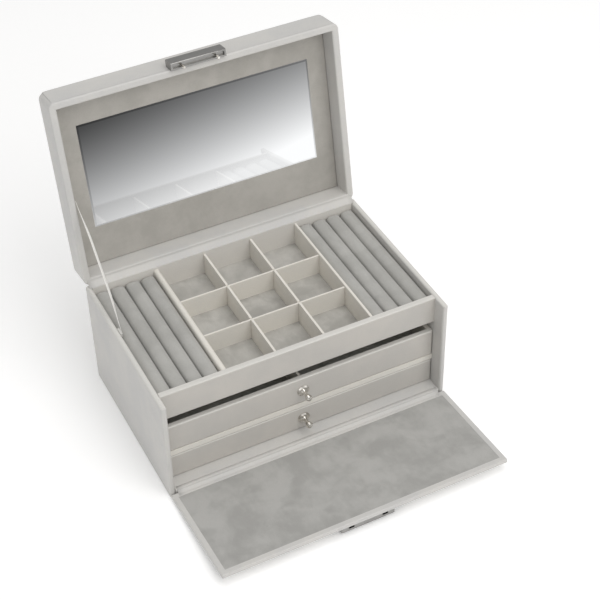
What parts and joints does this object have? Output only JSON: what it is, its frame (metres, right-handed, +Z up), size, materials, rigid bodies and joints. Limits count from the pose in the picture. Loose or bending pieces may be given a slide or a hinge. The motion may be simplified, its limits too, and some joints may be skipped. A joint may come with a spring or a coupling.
{
  "type": "jewellery case",
  "caption": "Box-shaped leather jewellery case with a hinged mirrored lid, a divided top tray with ring rolls, drawers behind a drop-down front flap, a lock and a carrying handle.",
  "frame": {"origin": "on the table, under the middle of the case, on the underside of its base", "axes": "+X to the right as the case is faced, +Y to the back, +Z up"},
  "size_m": [0.28, 0.3738, 0.2976],
  "materials": {
    "pearl_leather": "pearl grey leather over board, fine grain, soft sheen",
    "front_leather": "pearl grey leather, a little smoother",
    "inner_leather": "thin pearl grey leather over board",
    "grey_velvet": "soft grey velvet with a mottled nap",
    "ribbon": "thin pale satin ribbon",
    "mirror_glass": "clear mirror",
    "polished_nickel": "polished nickel",
    "brushed_nickel": "fine brushed nickel",
    "hinge_steel": "plain nickelled steel"
  },
  "bodies": {
    "cabinet": {"back_cross_divider": "inner_leather", "back_panel": "pearl_leather", "base_board": "pearl_leather", "drawer_shelf": "inner_leather", "flap_hinge_knuckles": "hinge_steel", "flap_hinge_pins": "hinge_steel", "front_cross_divider": "inner_leather", "left_long_divider": "inner_leather", "left_partition": "inner_leather", "left_ring_roll_1": "grey_velvet", "left_ring_roll_2": "grey_velvet", "left_ring_roll_3": "grey_velvet", "left_ring_roll_4": "grey_velvet", "left_wall": "pearl_leather", "lid_hinge_case_leaves": "hinge_steel", "lid_hinge_case_screws": "hinge_steel", "lid_hinge_pins": "hinge_steel", "ribbon_clip": "pearl_leather", "right_long_divider": "inner_leather", "right_partition": "inner_leather", "right_ring_roll_1": "grey_velvet", "right_ring_roll_2": "grey_velvet", "right_ring_roll_3": "grey_velvet", "right_ring_roll_4": "grey_velvet", "right_wall": "pearl_leather", "stay_ribbon": "ribbon", "tray_floor": "inner_leather", "tray_front": "front_leather", "tray_lining": "grey_velvet"},
    "lid": {"lid_hinge_lid_leaves": "hinge_steel", "lid_hinge_lid_screws": "hinge_steel", "lid_lining_panel": "grey_velvet", "lid_mirror": "mirror_glass", "lid_shell": "pearl_leather", "lid_top_pad": "pearl_leather", "handle_brackets": "polished_nickel", "handle_pins": "polished_nickel", "handle_strap": "pearl_leather", "strike_bar": "brushed_nickel", "strike_studs": "polished_nickel"},
    "flap": {"flap_board": "pearl_leather", "flap_lining": "grey_velvet", "lock_backplate": "brushed_nickel", "lock_housing": "brushed_nickel"},
    "lower_drawer": {"lower_drawer_front": "front_leather", "lower_drawer_knob": "polished_nickel", "lower_drawer_knob_screw": "hinge_steel", "lower_drawer_lining": "grey_velvet", "lower_drawer_tray": "inner_leather"},
    "upper_drawer": {"upper_drawer_divider": "inner_leather", "upper_drawer_front": "front_leather", "upper_drawer_knob": "polished_nickel", "upper_drawer_knob_screw": "hinge_steel", "upper_drawer_lining": "grey_velvet", "upper_drawer_tray": "inner_leather"},
    "lock_plug": {"lock_cylinder": "polished_nickel"},
    "lock_bar": {"lock_latch": "polished_nickel"}
  },
  "joints": [
    {"name": "lid_hinge", "type": "hinge", "parent": "cabinet", "child": "lid", "pos_m": [0, 0.089, 0.11065], "axis": [-1, 0, 0], "range_deg": [-100.2, 0], "deforming": ["stay_ribbon"]},
    {"name": "flap_hinge", "type": "hinge", "parent": "cabinet", "child": "flap", "pos_m": [0, -0.0914, 0.0023], "axis": [1, 0, 0], "range_deg": [-85.14, 0]},
    {"name": "lower_drawer_slide", "type": "slide", "parent": "cabinet", "child": "lower_drawer", "axis": [0, -1, 0], "range_m": [0, 0.056]},
    {"name": "upper_drawer_slide", "type": "slide", "parent": "cabinet", "child": "upper_drawer", "axis": [0, -1, 0], "range_m": [0, 0.105]},
    {"name": "lock_plug_turn", "type": "hinge", "parent": "flap", "child": "lock_plug", "pos_m": [0, -0.18554, 0.00107], "axis": [0, -0.0848, -0.9964], "range_deg": [0, 90]},
    {"name": "latch_slide", "type": "slide", "parent": "flap", "child": "lock_bar", "axis": [1, 0, 0], "range_m": [0, 0.0036]}
  ],
  "couplings": [
    {"joint": "lock_plug_turn", "follows": "latch_slide", "rad_per_m": 436.33}
  ]
}
